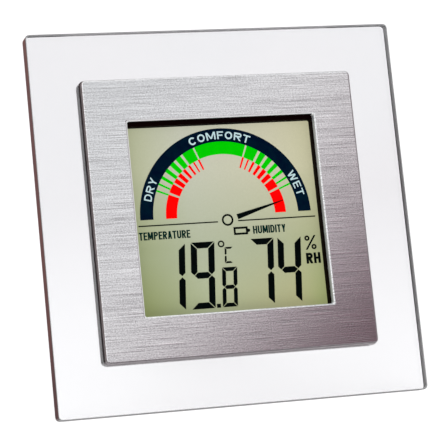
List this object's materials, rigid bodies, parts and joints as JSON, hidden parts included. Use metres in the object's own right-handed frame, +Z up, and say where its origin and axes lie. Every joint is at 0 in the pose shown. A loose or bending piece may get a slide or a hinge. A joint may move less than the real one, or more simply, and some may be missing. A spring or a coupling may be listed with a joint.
{
  "type": "digital thermo-hygrometer",
  "caption": "Square clear desk frame round a brushed bezel, with a display of temperature, humidity and a coloured comfort scale, leaning back on a fold-out leg.",
  "frame": {"origin": "on the table under the middle of the whole object, with the leg open", "axes": "+X to the right seen from the front, +Y towards the back where the leg stands, +Z up; the plate leans back 20.5 degrees"},
  "size_m": [0.11, 0.0645, 0.1045],
  "materials": {
    "frame_plate": "clear acrylic with polished edges",
    "bezel": "brushed level, thin rounded edges",
    "display_holder": "black",
    "lcd_front_glass": "display glass over a greenish grey ground",
    "lcd_rear_glass": "display glass",
    "lcd_reflector": "satin reflective film",
    "contact_strip": "conductive rubber strip",
    "circuit_board": "green solder mask",
    "controller_chip": "black resin",
    "clock_crystal": "plain can",
    "humidity_sensor": "ivory",
    "temperature_sensor": "lacquered bead",
    "rear_housing": "fine textured dark grey",
    "battery_cell": "plain sleeve",
    "contact_positive": "nickel plated",
    "contact_negative": "nickel plated",
    "contact_spring": "nickel plated",
    "lead_negative": "black insulation",
    "lead_positive": "red insulation",
    "battery_lid": "fine textured dark grey",
    "unit_switch": "folded tin can",
    "unit_slider": "grey",
    "stand_leg": "clear plastic",
    "stand_pin": "plain pin",
    "key_switch_upper": "black",
    "key_plunger_upper": "ivory",
    "button_upper": "grey",
    "board_screw_upper_left": "zinc plated",
    "case_screw_upper_left": "zinc plated",
    "board_screw_upper_right": "zinc plated",
    "case_screw_upper_right": "zinc plated",
    "key_switch_lower": "black",
    "key_plunger_lower": "ivory",
    "button_lower": "grey",
    "board_screw_lower_left": "zinc plated",
    "case_screw_lower_left": "zinc plated",
    "board_screw_lower_right": "zinc plated",
    "case_screw_lower_right": "zinc plated"
  },
  "bodies": {
    "case": {"frame_plate": "frame_plate", "bezel": "bezel", "display_holder": "display_holder", "lcd_front_glass": "lcd_front_glass", "lcd_rear_glass": "lcd_rear_glass", "lcd_reflector": "lcd_reflector", "contact_strip": "contact_strip", "circuit_board": "circuit_board", "controller_chip": "controller_chip", "clock_crystal": "clock_crystal", "humidity_sensor": "humidity_sensor", "temperature_sensor": "temperature_sensor", "rear_housing": "rear_housing", "battery_cell": "battery_cell", "contact_positive": "contact_positive", "contact_negative": "contact_negative", "contact_spring": "contact_spring", "lead_negative": "lead_negative", "lead_positive": "lead_positive", "unit_switch": "unit_switch", "stand_pin": "stand_pin", "key_switch_upper": "key_switch_upper", "board_screw_upper_left": "board_screw_upper_left", "case_screw_upper_left": "case_screw_upper_left", "board_screw_upper_right": "board_screw_upper_right", "case_screw_upper_right": "case_screw_upper_right", "key_switch_lower": "key_switch_lower", "board_screw_lower_left": "board_screw_lower_left", "case_screw_lower_left": "case_screw_lower_left", "board_screw_lower_right": "board_screw_lower_right", "case_screw_lower_right": "case_screw_lower_right"},
    "stand_leg": {"stand_leg": "stand_leg"},
    "battery_lid": {"battery_lid": "battery_lid"},
    "unit_slider": {"unit_slider": "unit_slider"},
    "button_upper": {"button_upper": "button_upper", "key_plunger_upper": "key_plunger_upper"},
    "button_lower": {"button_lower": "button_lower", "key_plunger_lower": "key_plunger_lower"}
  },
  "joints": [
    {"name": "stand_hinge", "type": "hinge", "parent": "case", "child": "stand_leg", "pos_m": [0, 0.00674, 0.05427], "axis": [1, 0, 0], "range_deg": [-45, 0]},
    {"name": "battery_lid_slide", "type": "slide", "parent": "case", "child": "battery_lid", "axis": [0, 0.3502, 0.9367], "range_m": [0, 0.02]},
    {"name": "unit_slider_slide", "type": "slide", "parent": "case", "child": "unit_slider", "axis": [0, -0.3502, -0.9367], "range_m": [0, 0.0025]},
    {"name": "button_upper_press", "type": "slide", "parent": "case", "child": "button_upper", "axis": [0, -0.9367, 0.3502], "range_m": [0, 0.0005], "stiffness_N_per_m": 600, "springref_m": -0.0008},
    {"name": "button_lower_press", "type": "slide", "parent": "case", "child": "button_lower", "axis": [0, -0.9367, 0.3502], "range_m": [0, 0.0005], "stiffness_N_per_m": 600, "springref_m": -0.0008}
  ]
}
